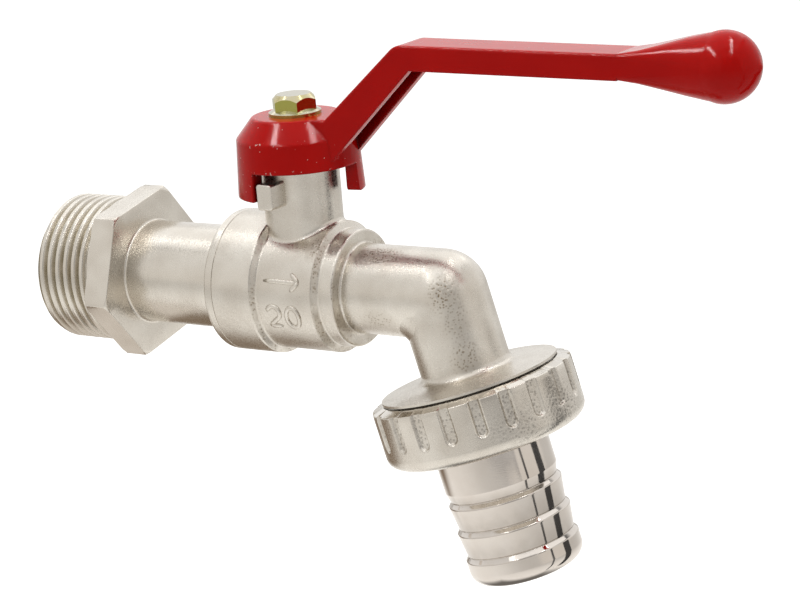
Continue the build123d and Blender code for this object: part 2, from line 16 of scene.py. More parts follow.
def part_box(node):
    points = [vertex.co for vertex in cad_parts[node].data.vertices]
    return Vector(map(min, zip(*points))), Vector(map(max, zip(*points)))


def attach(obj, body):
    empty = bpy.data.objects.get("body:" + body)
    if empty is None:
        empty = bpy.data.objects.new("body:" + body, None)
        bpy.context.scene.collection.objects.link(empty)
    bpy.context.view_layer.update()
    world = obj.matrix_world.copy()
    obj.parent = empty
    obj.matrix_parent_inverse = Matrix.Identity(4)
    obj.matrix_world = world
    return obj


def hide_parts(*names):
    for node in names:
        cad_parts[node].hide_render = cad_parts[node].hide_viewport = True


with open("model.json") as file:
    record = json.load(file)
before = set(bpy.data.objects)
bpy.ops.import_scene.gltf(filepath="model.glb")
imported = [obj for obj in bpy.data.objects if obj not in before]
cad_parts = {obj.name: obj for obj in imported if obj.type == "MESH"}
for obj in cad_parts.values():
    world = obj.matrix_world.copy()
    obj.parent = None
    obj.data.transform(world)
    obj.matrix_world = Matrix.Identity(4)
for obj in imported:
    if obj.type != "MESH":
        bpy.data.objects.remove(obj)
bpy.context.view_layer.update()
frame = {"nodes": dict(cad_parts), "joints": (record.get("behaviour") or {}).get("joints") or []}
nodes = frame["nodes"]
joints = {joint["name"]: joint for joint in frame["joints"]}
print("loaded", len(nodes), "nodes:", ", ".join(sorted(nodes)))

# %% [markdown]
# Three lines carry the whole tap: the pipe axis along X, the upright stem axis, and the leaning
# spout axis. The last two are read from the joints, so they can't drift from the frame.

# %% Axes of the tap
MM = 0.001
stem_foot = Vector(joints["lever_turn"]["pos_m"])
spout_corner = Vector(joints["nut_turn"]["pos_m"])
spout_down = Vector(joints["nut_turn"]["axis"]).normalized()
spout_near = Vector((0, -1, 0))
spout_side = spout_near.cross(spout_down)


def axis_frame(origin, first, second, along):
    """A matrix that takes (first, second, along) coordinates in mm to the frame in metres."""
    turn = Matrix((first, second, along)).transposed().to_4x4()
    return Matrix.Translation(origin) @ turn @ Matrix.Scale(MM, 4)


pipe_frame = axis_frame(Vector(), Vector((0, 1, 0)), Vector((0, 0, 1)), Vector((1, 0, 0)))
spout_frame = axis_frame(spout_corner, spout_side, spout_near, spout_down)
print("stem at", tuple(stem_foot), "spout leaves", tuple(spout_corner), "along", tuple(spout_down))

# %% [markdown]
# The camera stands where the photograph was taken from: to the right of the tap, a little above
# it, close enough for a clear perspective, and held slightly askew. Its place follows from four
# angles and lengths and from the pixel where the foot of the stem axis lies.

# %% Camera
PICTURE = (800, 615)
FOCAL_PIXELS = 2085.0
SENSOR_WIDTH = 36.0
VIEW_AZIMUTH = radians(32.1)
VIEW_ELEVATION = radians(15.83)
VIEW_ROLL = radians(4.64)
VIEW_DISTANCE = 0.36247
STEM_PIXEL = (310.9, 283.3)

to_camera = Vector((
    sin(VIEW_AZIMUTH) * cos(VIEW_ELEVATION),
    -cos(VIEW_AZIMUTH) * cos(VIEW_ELEVATION),
    sin(VIEW_ELEVATION),
))
level_right = Vector((cos(VIEW_AZIMUTH), sin(VIEW_AZIMUTH), 0))
level_up = to_camera.cross(level_right)
view_right = cos(VIEW_ROLL) * level_right - sin(VIEW_ROLL) * level_up
view_up = sin(VIEW_ROLL) * level_right + cos(VIEW_ROLL) * level_up
aside = (STEM_PIXEL[0] - PICTURE[0] / 2) / FOCAL_PIXELS
below = (STEM_PIXEL[1] - PICTURE[1] / 2) / FOCAL_PIXELS

camera = bpy.data.objects.new("camera", bpy.data.cameras.new("camera"))
bpy.context.scene.collection.objects.link(camera)
camera.data.sensor_fit = "HORIZONTAL"
camera.data.sensor_width = SENSOR_WIDTH
camera.data.lens = SENSOR_WIDTH * FOCAL_PIXELS / PICTURE[0]
camera.data.clip_start = 0.01
camera.matrix_world = Matrix((view_right, view_up, to_camera)).transposed().to_4x4()
camera.location = stem_foot + VIEW_DISTANCE * (to_camera - aside * view_right + below * view_up)
bpy.context.scene.camera = camera
bpy.context.scene.view_settings.view_transform = "Standard"
print("camera at", tuple(camera.location), "lens", camera.data.lens)

# %% [markdown]
# Every material below is a small graph of shader nodes. Adding a node, setting its options and
# linking its inputs takes several lines each time, so one helper does all three: a value that is
# a socket is linked, and any other value is set on the socket itself.


# %% Node helpers
def add_node(tree, kind, inputs=None, **options):
    """Adds a shader node, sets its options, and links or sets its inputs."""
    node = tree.nodes.new("ShaderNode" + kind)
    for name, value in options.items():
        setattr(node, name, value)
    for socket, value in (inputs or {}).items():
        if isinstance(value, bpy.types.NodeSocket):
            tree.links.new(value, node.inputs[socket])
        else:
            node.inputs[socket].default_value = value
    return node


def maths(tree, operation, *values):
    """A sum, product or other operation on sockets and numbers."""
    return add_node(tree, "Math", dict(enumerate(values)), operation=operation).outputs[0]


def remap(tree, value, from_low, from_high, to_low=0.0, to_high=1.0):
    """A value taken from one range to another, smoothly, and held at the ends."""
    sockets = {0: value, 1: from_low, 2: from_high, 3: to_low, 4: to_high}
    return add_node(tree, "MapRange", sockets, interpolation_type="SMOOTHSTEP").outputs[0]


def ramp(tree, value, *stops):
    """Colours along a value: each stop is (place, colour), a colour being three numbers."""
    node = add_node(tree, "ValToRGB", {0: value})
    elements = node.color_ramp.elements
    while len(elements) < len(stops):
        elements.new(1.0)
    for element, (place, colour) in zip(elements, stops):
        element.position = place
        element.color = (*colour, 1.0)
    return node.outputs[0]


def blend_colours(tree, share, first, second):
    """The first colour where the share is 0 and the second where it is 1."""
    sockets = {0: share}
    for socket, colour in ((6, first), (7, second)):
        sockets[socket] = colour if isinstance(colour, bpy.types.NodeSocket) else (*colour, 1.0)
    return add_node(tree, "Mix", sockets, data_type="RGBA").outputs[2]


def millimetres(tree, stretch=(1.0, 1.0, 1.0)):
    """The place on the piece, in millimetres, stretched along X, Y and Z."""
    place = add_node(tree, "TexCoord").outputs["Object"]
    factors = tuple(share / MM for share in stretch)
    return add_node(tree, "VectorMath", {0: place, 1: factors}, operation="MULTIPLY").outputs[0]


def grain(tree, place, size, detail=2.0):
    """Noise whose lumps are about as many millimetres across as size says."""
    sockets = {"Vector": place, "Scale": 1.0 / size, "Detail": detail}
    return add_node(tree, "TexNoise", sockets).outputs["Fac"]


def pores(tree, place, size):
    """Distance from the nearest of many scattered points, which lie about size millimetres apart."""
    sockets = {"Vector": place, "Scale": 1.0 / size}
    return add_node(tree, "TexVoronoi", sockets).outputs["Distance"]


def new_material(name):
    """A material with an empty graph, and its shader and output in place."""
    material = bpy.data.materials.new(name)
    material.use_nodes = True
    tree = material.node_tree
    tree.nodes.clear()
    shader = add_node(tree, "BsdfPrincipled")
    add_node(tree, "OutputMaterial", {"Surface": shader.outputs[0]})
    return material, tree, shader


def wire(tree, shader, **sockets):
    """Links or sets the shader's inputs; an underscore in a name stands for a space."""
    for name, value in sockets.items():
        socket = shader.inputs[name.replace("_", " ")]
        if isinstance(value, bpy.types.NodeSocket):
            tree.links.new(value, socket)
        else:
            socket.default_value = value


def relief(tree, height, depth, under=None):
    """A bump of a given depth in millimetres, laid over another one."""
    sockets = {"Height": height, "Strength": 1.0, "Distance": depth * MM}
    if under is not None:
        sockets["Normal"] = under
    return add_node(tree, "Bump", sockets).outputs[0]


print("node helpers ready")

# %% [markdown]
# The studio. The photograph has a plain white ground and no shadow in view, so the floor lies
# well below the tap. It is pale and takes the tap's shadow, and it also glows: to the camera
# enough to read as white, and less in reflections, where the pool of light around the tap fades
# outwards. The world does the same: white to the camera, a soft bright surround in reflections,
# and a plain level for diffuse light. The surround is brightest at the white backdrop behind the
# tap, and dark where the broad lamp hangs before it.

# %% Floor and world
WHITE = (1.0, 1.0, 1.0)
FLOOR_DROP = 0.25
FLOOR_SIZE = 12.0
FLOOR_COLOUR = (0.85, 0.85, 0.84)
MIRRORED_FLOOR = (1.0, 0.945, 0.87)
CAMERA_GLOW = 0.7
MIRROR_GLOW = 0.34
FAR_GLOW = 0.27
POOL_EDGES = (0.35, 1.0)
AMBIENT = 0.5
PANEL_SIDE = (0.0, 0.95, -0.32)
level_back = Vector((to_camera.x, to_camera.y, 0)).normalized()


def studio_way(right, up, back):
    """A direction as seen from the camera, with up straight up and back towards the camera."""
    return (right * level_right + up * Vector((0, 0, 1)) + back * level_back).normalized()


def ray_kinds(tree):
    """Whether a ray comes from the camera, and whether from a mirror or through glass."""
    rays = add_node(tree, "LightPath").outputs
    mirrored = maths(tree, "MAXIMUM", rays["Is Glossy Ray"], rays["Is Transmission Ray"])
    return rays["Is Camera Ray"], mirrored


bpy.ops.mesh.primitive_plane_add(size=FLOOR_SIZE, location=(0, 0, -FLOOR_DROP))
floor = bpy.context.object
floor.name = "floor"
floor_material, tree, shader = new_material("pale_floor")
seen, mirrored = ray_kinds(tree)
floor_place = add_node(tree, "TexCoord").outputs["Object"]
away = add_node(tree, "VectorMath", {0: floor_place}, operation="LENGTH").outputs["Value"]
mirror_glow = maths(tree, "MULTIPLY", mirrored, remap(tree, away, *POOL_EDGES, MIRROR_GLOW, FAR_GLOW))
floor_tone = grain(tree, millimetres(tree), 40.0)
wire(
    tree,
    shader,
    Base_Color=ramp(tree, floor_tone, (0.3, FLOOR_COLOUR), (0.7, (0.87, 0.87, 0.86))),
    Roughness=0.9,
    Specular_IOR_Level=0.0,
    Emission_Color=blend_colours(tree, mirrored, WHITE, MIRRORED_FLOOR),
    Emission_Strength=maths(tree, "MULTIPLY_ADD", seen, CAMERA_GLOW, mirror_glow),
)
floor.data.materials.append(floor_material)

world = bpy.data.worlds.new("studio")
bpy.context.scene.world = world
world.use_nodes = True
tree = world.node_tree
tree.nodes.clear()
direction = add_node(tree, "TexCoord").outputs["Generated"]
height = add_node(tree, "SeparateXYZ", {0: direction}).outputs["Z"]
surround = ramp(
    tree,
    maths(tree, "MULTIPLY_ADD", height, 0.5, 0.5),
    (0.0, (0.5, 0.46, 0.42)),
    (0.5, (0.86, 0.825, 0.78)),
    (1.0, (0.93, 0.93, 0.93)),
)
for way, start, end, colour in (
    ((0.0, 0.0, -1.0), 0.1, 0.6, (1.06, 1.06, 1.06)),
    (PANEL_SIDE, 0.68, 0.80, (0.1, 0.1, 0.1)),
):
    way = tuple(studio_way(*way))
    towards = add_node(tree, "VectorMath", {0: direction, 1: way}, operation="DOT_PRODUCT").outputs["Value"]
    surround = blend_colours(tree, remap(tree, towards, start, end), surround, colour)
seen, mirrored = ray_kinds(tree)
ambient = blend_colours(tree, mirrored, (AMBIENT,) * 3, surround)
sky = blend_colours(tree, seen, ambient, WHITE)
background = add_node(tree, "Background", {"Color": sky})
add_node(tree, "OutputWorld", {"Surface": background.outputs[0]})
print("floor", FLOOR_DROP, "m under the pipe axis, ambient level", AMBIENT)

# %% [markdown]
# One broad soft lamp hangs over the tap and lights its upper sides. Beside it hang two narrow
# strips, which draw a bright line along the pipes. Gloss paint mirrors about a hundredth of a
# lamp, where nickel mirrors two thirds, so two more strips hang in the same directions for the
# lever alone and only for its gloss: they are the bright streaks on the knob and the hub. A
# lamp's brightness in a mirror is its power divided by its area and by pi, so each power below
# is worked out from the brightness that is wanted.

# %% Lamps
aim = Vector((0.045, 0, 0.01))
# each lamp: where it hangs seen from the tap (right, up, back), distance, width, length, brightness
lamps = {
    "soft_panel": (PANEL_SIDE, 0.58, 1.00, 1.05, 1.2),
    "left_strip": ((-0.51, 0.85, 0.19), 0.60, 0.012, 0.80, 7.5),
    "right_strip": ((0.35, 0.90, 0.25), 0.60, 0.014, 0.95, 9.5),
    "left_glint": ((-0.51, 0.85, 0.19), 0.60, 0.05, 0.45, 55.0),
    "right_glint": ((0.35, 0.90, 0.25), 0.60, 0.05, 0.50, 45.0),
}
lever_alone = bpy.data.collections.new("lever_alone")
lever_alone.objects.link(nodes["lever"])


def facing(point, target, along):
    """A place whose Z looks from a target to the point and whose Y runs along a direction."""
    look = (point - target).normalized()
    side = along.cross(look).normalized()
    turn = Matrix((side, look.cross(side), look)).transposed().to_4x4()
    return Matrix.Translation(point) @ turn


for lamp_name, (side, distance, width, length, brightness) in lamps.items():
    lamp = bpy.data.objects.new(lamp_name, bpy.data.lights.new(lamp_name, "AREA"))
    bpy.context.scene.collection.objects.link(lamp)
    lamp.data.shape = "RECTANGLE"
    lamp.data.size = width
    lamp.data.size_y = length
    lamp.data.energy = brightness * pi * width * length
    lamp.matrix_world = facing(aim + distance * studio_way(*side), aim, level_back)
    lamp.visible_camera = False
    if lamp_name.endswith("glint"):
        lamp.visible_diffuse = False
        lamp.light_linking.receiver_collection = lever_alone
print("lamps:", ", ".join(lamps))

# %% [markdown]
# Polished metal has no colour of its own and shows only what stands around it, so a few cards
# stand out of the picture: a grey one and a leaning slat before the tap and two dark bars to the
# right, which the hose tail mirrors, a brown board under the pipes, which darkens their lower
# sides, a small pale one under the hexagon, which stays light, and a dark one under the tail's
# round end. They are stage, not part of the tap, and only reflections see them.

# %% Cards
tail_middle = spout_corner + 0.040 * spout_down
# each card stands up: its place from the hose tail (right, up, back), width, height, lean, colour
cards = {
    "grey_card": ((0.090, 0.225, 0.45), 0.50, 0.40, 0.0, (0.48, 0.47, 0.46)),
    "grey_slat": ((0.045, 0.0128, 0.199), 0.222, 0.014, radians(10.0), (0.56, 0.55, 0.54)),
    "dark_bar": ((0.150, -0.061, 0.006), 0.044, 0.20, 0.0, (0.075, 0.075, 0.075)),
    "dark_line": ((0.117, -0.061, 0.093), 0.011, 0.20, 0.0, (0.12, 0.12, 0.12)),
}
# each board lies flat: its place from the middle of the tap, width, depth, colour, faded edge
boards = {
    "brown_board": ((-0.060, -0.070, -0.053), 0.120, 0.112, (0.26, 0.195, 0.14), 0.030),
    "pale_board": ((-0.047, -0.030, -0.020), 0.024, 0.030, (0.80, 0.74, 0.68), 0.006),
    "dark_board": ((0.026, -0.085, 0.018), 0.064, 0.056, (0.20, 0.19, 0.18), 0.020),
}


def studio_point(origin, right, up, back):
    """A point at distances from an origin, in metres: right, straight up and towards the camera."""
    return origin + right * level_right + up * Vector((0, 0, 1)) + back * level_back


def mirror_card(card_name, place, width, length, colour, fade=0.0):
    """A plain glowing card that only mirrors see, faded out towards its edges if asked."""
    bpy.ops.mesh.primitive_plane_add(size=1.0)
    card = bpy.context.object
    card.name = card_name
    card.data.transform(Matrix.Diagonal((width, length, 1, 1)))
    card.matrix_world = place
    material, tree, shader = new_material(card_name)
    wire(
        tree,
        shader,
        Base_Color=(0.0, 0.0, 0.0, 1.0),
        Specular_IOR_Level=0.0,
        Emission_Color=(*colour, 1.0),
        Emission_Strength=1.0,
    )
    if fade:
        place_on = add_node(tree, "TexCoord").outputs["Object"]
        across, along, _ = add_node(tree, "SeparateXYZ", {0: place_on}).outputs
        edges = ((across, width), (along, length))
        inside = [maths(tree, "SUBTRACT", size / 2, maths(tree, "ABSOLUTE", off)) for off, size in edges]
        wire(tree, shader, Alpha=remap(tree, maths(tree, "MINIMUM", *inside), 0.0, fade))
    card.data.materials.append(material)
    card.visible_camera = False
    card.visible_diffuse = False
    card.visible_shadow = False


for card_name, (offset, width, tall, lean, colour) in cards.items():
    point = studio_point(tail_middle, *offset)
    level_target = Vector((tail_middle.x, tail_middle.y, point.z))
    upright = cos(lean) * Vector((0, 0, 1)) - sin(lean) * level_right
    mirror_card(card_name, facing(point, level_target, upright), width, tall, colour)
board_turn = Matrix((level_right, -level_back, (0, 0, 1))).transposed().to_4x4()
for board_name, (offset, width, deep, colour, fade) in boards.items():
    board_place = Matrix.Translation(studio_point(aim, *offset)) @ board_turn
    mirror_card(board_name, board_place, width, deep, colour, fade)
print("cards:", ", ".join(cards), "and", ", ".join(boards))

# %% [markdown]
# Shot-blasted nickel plate covers the forged body and the nut: warm grey, satin, with a fine
# grain, and sandy dark freckles where the blasting bit deeper. One graph makes both: a noise of
# a quarter millimetre is the grain, a larger one shifts the tone, scattered points are the
# freckles, and a mask given by each piece says where those lie. On the body's slanted steps the
# freckles are partly painted shade.

# %% Shot-blasted nickel
NICKEL_PALE = (0.715, 0.675, 0.61)
NICKEL_DEEP = (0.63, 0.585, 0.52)
# the sand of the freckles, which on the body's slanted steps is partly painted shade
NICKEL_SAND_AND_SHADE = (0.25, 0.19, 0.12)
NICKEL_PIT = (0.13, 0.115, 0.10)


def blasted_nickel(name, sand_mask, sand, freckle, rough):
    """Satin nickel plate; sand_mask(tree, place) says where it has freckles of a given size."""
    material, tree, shader = new_material(name)
    place = millimetres(tree)
    tone = ramp(tree, grain(tree, place, 5.0), (0.35, NICKEL_DEEP), (0.65, NICKEL_PALE))
    fine = grain(tree, place, 0.28, 3.0)
    pitted = pores(tree, place, freckle)
    sandy = sand_mask(tree, place)
    freckles = maths(tree, "MULTIPLY", sandy, remap(tree, pitted, 0.2, 0.45, 0.95, 0.15))
    colour = blend_colours(tree, freckles, tone, sand)
    gloss = remap(tree, fine, 0.3, 0.7, rough - 0.05, rough + 0.08)
    roughness = maths(tree, "MULTIPLY_ADD", sandy, 0.12, gloss)
    turned = add_node(tree, "Attribute", attribute_name="turned").outputs["Fac"]
    roughness = maths(tree, "MULTIPLY_ADD", turned, -0.16, roughness)
    bumps = relief(tree, fine, 0.014)
    bumps = relief(tree, maths(tree, "MULTIPLY", pitted, sandy), 0.08, bumps)
    wire(tree, shader, Base_Color=colour, Metallic=1.0, Roughness=roughness, Normal=bumps)
    return material


def soft_spots(tree, place, spots):
    """A mask of soft spots, each with a middle, three half sizes in millimetres, and a strength."""
    mask = None
    for middle, halves, strength in spots:
        away = add_node(tree, "VectorMath", {0: place, 1: middle}, operation="SUBTRACT").outputs[0]
        away = add_node(tree, "VectorMath", {0: away, 1: halves}, operation="DIVIDE").outputs[0]
        reach = add_node(tree, "VectorMath", {0: away}, operation="LENGTH").outputs["Value"]
        spot = remap(tree, reach, 0.25, 1.0, strength, 0.0)
        mask = spot if mask is None else maths(tree, "MAXIMUM", mask, spot)
    return mask


# sandy spots of the forging: on the outlet's top and its lower side, three down the near side of
# the elbow and the spout, beside the boss, and on the flange
BODY_SPOTS = (
    ((55.5, -3.2, 7.0), (6.5, 3.5, 2.8), 1.0),
    ((56.5, -7.0, -3.2), (4.5, 3.0, 2.4), 0.6),
    ((69.0, -6.5, 2.0), (3.4, 4.0, 4.4), 1.0),
    ((70.8, -6.0, -2.5), (2.8, 4.0, 5.0), 0.6),
    ((72.3, -6.3, -8.5), (3.2, 4.0, 4.4), 0.8),
    ((45.5, -6.5, 8.5), (2.2, 5.0, 3.0), 0.9),
    ((68.7, -10.5, -13.4), (4.0, 4.0, 2.2), 0.7),
)


def body_sand_and_step_shade(tree, place):
    """Freckles on the forging's spots, and on the slanted steps between its rings, where they are partly
    painted shade.
    """
    spots = soft_spots(tree, place, BODY_SPOTS)
    # the slanted steps get the sandy freckles too, partly as painted shade
    facing_x = add_node(tree, "NewGeometry").outputs["Normal"]
    facing_x = add_node(tree, "SeparateXYZ", {0: facing_x}).outputs["X"]
    steps = remap(tree, maths(tree, "ABSOLUTE", facing_x), 0.45, 0.7)
    along, _, up = add_node(tree, "SeparateXYZ", {0: place}).outputs
    steps = maths(tree, "MULTIPLY", steps, remap(tree, along, 49.3, 50.5, 0.8, 0.0))
    steps = maths(tree, "MULTIPLY", steps, remap(tree, up, 7.0, 9.0, 1.0, 0.0))
    patchy = remap(tree, grain(tree, place, 3.0), 0.35, 0.6)
    return maths(tree, "MAXIMUM", spots, maths(tree, "MULTIPLY", steps, patchy))


forged_nickel = blasted_nickel("forged_nickel", body_sand_and_step_shade, NICKEL_SAND_AND_SHADE, 0.45, 0.30)
print("made", forged_nickel.name)

# %% [markdown]
# The nut has the same plate. Its freckles lie in the finger flutes, so the mesh of the nut
# carries a value at every point, the depth of the flute there, and the material reads it. A
# second value marks its upper rim, which is turned and therefore shinier.


# %% Nickel of the nut
# sandy spots of the nut: one well round to the right, and a fainter one low on its near side
NUT_SPOTS = (
    (tuple((spout_corner + 0.0200 * spout_down + 0.0112 * level_right + 0.0085 * to_camera) / MM),
     (6.5, 8.0, 6.5), 1.0),
    (tuple((spout_corner + 0.0225 * spout_down + 0.0055 * level_right + 0.0155 * to_camera) / MM),
     (8.0, 8.0, 4.5), 0.5),
)


def flute_sand(tree, place):
    """Freckles in the flutes, and on the right of the nut between them."""
    depth = add_node(tree, "Attribute", attribute_name="flute").outputs["Fac"]
    spots = soft_spots(tree, place, NUT_SPOTS)
    patchy = remap(tree, grain(tree, place, 2.5), 0.35, 0.55, 0.35, 1.0)
    return maths(tree, "MAXIMUM", maths(tree, "MULTIPLY", depth, 0.5), maths(tree, "MULTIPLY", spots, patchy))


nut_nickel = blasted_nickel("nut_nickel", flute_sand, NICKEL_PIT, 0.55, 0.24)
print("made", nut_nickel.name)

# %% [markdown]
# The inlet connector and the inside of the union are turned on a lathe before they are plated,
# so very fine lines run round them. The same noise, squeezed along the pipe axis and drawn out
# across it, gives such lines. Shade is painted into the grooves, less on faces that look up, so a
# value on the mesh says how deep a groove is there, and the tone darkens with it.


# %% Turned nickel
# tones of painted shade in grooves: the first for the hose tail by its barbs, the second for the thread
TAIL_GROOVE_SHADE = (0.17, 0.145, 0.115)
THREAD_GROOVE_SHADE = (0.34, 0.30, 0.21)


def painted_groove_shade(tree, tone, place, colour, share):
    """A tone darkened by painted shade in grooves, less on faces that look up, as far as the mesh's groove
    value says.
    """
    groove = add_node(tree, "Attribute", attribute_name="groove").outputs["Fac"]
    normal = add_node(tree, "NewGeometry").outputs["Normal"]
    upward = add_node(tree, "SeparateXYZ", {0: normal}).outputs["Z"]
    groove = maths(tree, "MULTIPLY", groove, remap(tree, upward, 0.2, 0.8, 1.0, 0.4))
    patchy = remap(tree, grain(tree, place, 2.2), 0.25, 0.7, 0.6, 1.0)
    groove_shade = maths(tree, "MULTIPLY", maths(tree, "MULTIPLY", groove, patchy), share)
    return blend_colours(tree, groove_shade, tone, colour)


def turned_nickel(name, stretch, rough):
    """Nickel plate over a turned surface whose lines run across the stretched axis."""
    material, tree, shader = new_material(name)
    place = millimetres(tree)
    lines = grain(tree, millimetres(tree, stretch), 0.8, 3.0)
    tone = ramp(tree, grain(tree, place, 6.0), (0.35, NICKEL_DEEP), (0.65, NICKEL_PALE))
    tone = painted_groove_shade(tree, tone, place, THREAD_GROOVE_SHADE, 0.9)
    fine = grain(tree, place, 0.25, 3.0)
    gloss = remap(tree, maths(tree, "ADD", lines, fine), 0.7, 1.3, rough - 0.05, rough + 0.07)
    bumps = relief(tree, lines, 0.006, relief(tree, fine, 0.004))
    wire(tree, shader, Base_Color=tone, Metallic=1.0, Roughness=gloss, Normal=bumps)
    return material


connector_nickel = turned_nickel("connector_nickel", (6.0, 0.25, 0.25), 0.25)
print("made", connector_nickel.name)

# %% [markdown]
# The hose tail is polished before plating. It is a near mirror with faint smears and hairlines,
# and the ball inside the valve has the same finish.

# %% Polished nickel
POLISHED_PALE = (0.70, 0.65, 0.60)
POLISHED_DEEP = (0.66, 0.605, 0.55)


def polished_nickel():
    """A mirror finish with smears and hairlines, and painted shade and reflection by the barbs."""
    material, tree, shader = new_material("polished_nickel")
    place = millimetres(tree)
    smears = grain(tree, place, 4.0, 3.0)
    hairs = grain(tree, millimetres(tree, (0.3, 0.3, 9.0)), 0.7, 2.0)
    tone = ramp(tree, smears, (0.35, POLISHED_DEEP), (0.65, POLISHED_PALE))
    # painted shade and reflection: darker towards the foot of each barb
    tone = painted_groove_shade(tree, tone, place, TAIL_GROOVE_SHADE, 0.4)
    gloss = remap(tree, smears, 0.35, 0.7, 0.05, 0.10)
    bumps = relief(tree, hairs, 0.0015)
    wire(tree, shader, Base_Color=tone, Metallic=1.0, Roughness=gloss, Normal=bumps)
    return material


mirror_nickel = polished_nickel()
print("made", mirror_nickel.name)

# %% [markdown]
# The lever is a cast arm under thick gloss red paint. The paint rounds the edges, which the
# bevel node does for the light alone. It has a soft orange peel, it is a little duller in places,
# and tiny chips show the pale primer on the hub, most of them along its two edges. In the hollow
# of the arm and under the hub shade is painted in, so there the tone follows how shut in the
# place is.

# %% Red paint
RED_DEEP = (0.44, 0.0016, 0.0006)
RED_FULL = (0.49, 0.0024, 0.0009)
RED_PAINTED_SHADE = (0.07, 0.0006, 0.0008)
SHADE_REACH = 8.0
PRIMER = (0.66, 0.46, 0.42)
HUB_REACH = 11.2
HUB_EDGES = (21.7, 26.4)
CHIP_REACH = 0.8
PAINT_ROUND = 0.55


def red_paint():
    """Gloss paint with orange peel, painted shade in its hollows, and chips on the lever's hub."""
    material, tree, shader = new_material("red_paint")
    place = millimetres(tree)
    tone = ramp(tree, grain(tree, place, 7.0), (0.3, RED_DEEP), (0.7, RED_FULL))
    # painted shade: the tone darkens where the place is shut in
    shade_reach = {"Distance": SHADE_REACH * MM}
    open_share = add_node(tree, "AmbientOcclusion", shade_reach, samples=6).outputs["AO"]
    tone = blend_colours(tree, remap(tree, open_share, 0.3, 0.72, 1.0, 0.0), tone, RED_PAINTED_SHADE)
    x, y, z = add_node(tree, "SeparateXYZ", {0: place}).outputs
    off_x = maths(tree, "SUBTRACT", x, stem_foot.x / MM)
    reach = maths(tree, "SQRT", maths(tree, "MULTIPLY_ADD", off_x, off_x, maths(tree, "MULTIPLY", y, y)))
    rims = [maths(tree, "ABSOLUTE", maths(tree, "SUBTRACT", z, edge)) for edge in HUB_EDGES]
    rim = remap(tree, maths(tree, "MINIMUM", *rims), 0.2, CHIP_REACH, 1.0, 0.0)
    on_hub = remap(tree, reach, HUB_REACH, HUB_REACH + 0.5, 1.0, 0.0)
    specks = grain(tree, place, 0.55, 1.0)
    chips = maths(tree, "MULTIPLY", remap(tree, specks, 0.68, 0.71), rim)
    chips = maths(tree, "MAXIMUM", chips, remap(tree, specks, 0.76, 0.78))
    chips = maths(tree, "MULTIPLY", chips, on_hub)
    colour = blend_colours(tree, chips, tone, PRIMER)
    gloss = remap(tree, grain(tree, place, 3.0), 0.3, 0.7, 0.09, 0.15)
    roughness = maths(tree, "MULTIPLY_ADD", chips, 0.3, gloss)
    edges = add_node(tree, "Bevel", {"Radius": PAINT_ROUND * MM}, samples=6).outputs[0]
    peel = relief(tree, grain(tree, place, 0.9, 1.0), 0.006, edges)
    wire(
        tree,
        shader,
        Base_Color=colour,
        Roughness=roughness,
        Normal=peel,
        Specular_IOR_Level=0.11,
    )
    return material


lever_paint = red_paint()
print("made", lever_paint.name)

# %% [markdown]
# The lever bolt is zinc plated and yellow chromated: a thin film that is olive on the upright
# facets and the rim, pale straw on the dome, and shifts a little towards pink. The tone follows
# from which way the surface faces, with some noise in it.

# %% Yellow chromate
OLIVE, STRAW, PALE = (0.40, 0.385, 0.10), (0.50, 0.43, 0.21), (0.47, 0.44, 0.34)


def chromate(name):
    """Yellow chromated zinc, olive on upright faces and pale on faces that look up."""
    material, tree, shader = new_material(name)
    place = millimetres(tree)
    normal = add_node(tree, "NewGeometry").outputs["Normal"]
    upward = add_node(tree, "SeparateXYZ", {0: normal}).outputs["Z"]
    shift = maths(tree, "MULTIPLY_ADD", grain(tree, place, 1.4), 0.5, -0.25)
    tone = ramp(tree, maths(tree, "ADD", upward, shift), (0.2, OLIVE), (0.55, STRAW), (0.85, PALE))
    fine = grain(tree, place, 0.3, 3.0)
    gloss = remap(tree, fine, 0.3, 0.7, 0.14, 0.22)
    wire(tree, shader, Base_Color=tone, Metallic=1.0, Roughness=gloss, Normal=relief(tree, fine, 0.004))
    return material


yellow_zinc = chromate("yellow_zinc")
print("made", yellow_zinc.name)

# %% [markdown]
# The inner pieces are turned brass, white slippery plastic and black rubber. Little of them
# shows, but they are finished as well.

# %% Finishes of the small pieces
def small_finish(name, colours, metallic, rough, grain_size, depth):
    """A finish whose tone runs through a few colours, with a grain."""
    material, tree, shader = new_material(name)
    place = millimetres(tree)
    places = np.linspace(0.35, 0.65, len(colours))
    tone = ramp(tree, grain(tree, place, 1.6), *zip(places, colours))
    fine = grain(tree, place, grain_size, 3.0)
    gloss = remap(tree, fine, 0.3, 0.7, rough * 0.8, rough * 1.25)
    bumps = relief(tree, fine, depth)
    wire(tree, shader, Base_Color=tone, Metallic=metallic, Roughness=gloss, Normal=bumps)
    return material


brass_tones = ((0.70, 0.53, 0.24), (0.78, 0.62, 0.32))
ptfe_tones = ((0.82, 0.82, 0.80), (0.90, 0.90, 0.88))
rubber_tones = ((0.018, 0.018, 0.018), (0.035, 0.034, 0.033))
plain_brass = small_finish("plain_brass", brass_tones, 1.0, 0.28, 0.3, 0.008)
white_ptfe = small_finish("white_ptfe", ptfe_tones, 0.0, 0.45, 0.4, 0.008)
black_rubber = small_finish("black_rubber", rubber_tones, 0.0, 0.6, 0.3, 0.012)
print("made", plain_brass.name, white_ptfe.name, black_rubber.name)

# %% [markdown]
# Turned pieces are skins of rings. An outline is a short list of corners, each with the radius
# of its rounding; the rings follow it, and where the piece isn't round, as on a hexagon or a
# fluted rim, a ring's radius changes with the angle. Beside each rounding lies one more ring
# close by, which keeps the flat face next to it flat in the shading.

# %% Ring skins
ROUND_STEPS = 6
SUPPORT = 0.05
SHARP_ANGLE = radians(32)


